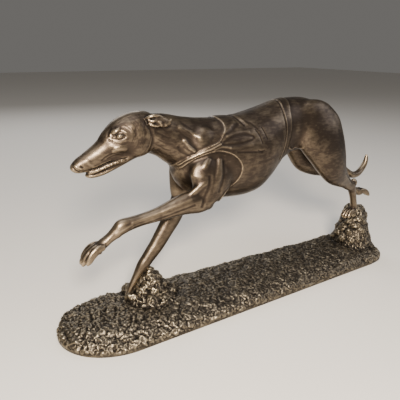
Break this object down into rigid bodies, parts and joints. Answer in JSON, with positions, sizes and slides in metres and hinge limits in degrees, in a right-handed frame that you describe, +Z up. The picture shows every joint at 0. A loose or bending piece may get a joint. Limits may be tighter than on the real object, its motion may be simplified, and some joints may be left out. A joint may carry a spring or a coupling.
{
  "type": "greyhound statue",
  "caption": "Desk-top figure of a racing greyhound at full stretch in its jacket, cold-cast in bronze in one piece with a strip of rough turf.",
  "frame": {"origin": "on the flat underside of the turf strip, under the middle of the whole figure's bounding box", "axes": "+X from the dog's nose towards its tail, along the strip; +Y from the dog's left side, which the picture shows, to its right side; +Z up"},
  "size_m": [0.2872, 0.0658, 0.1402],
  "materials": {
    "patinated_bronze": "cold-cast bronze, brown patina, rubbed to dull gold on the high places"
  },
  "bodies": {
    "root": {"greyhound_statue": "patinated_bronze"}
  },
  "joints": []
}
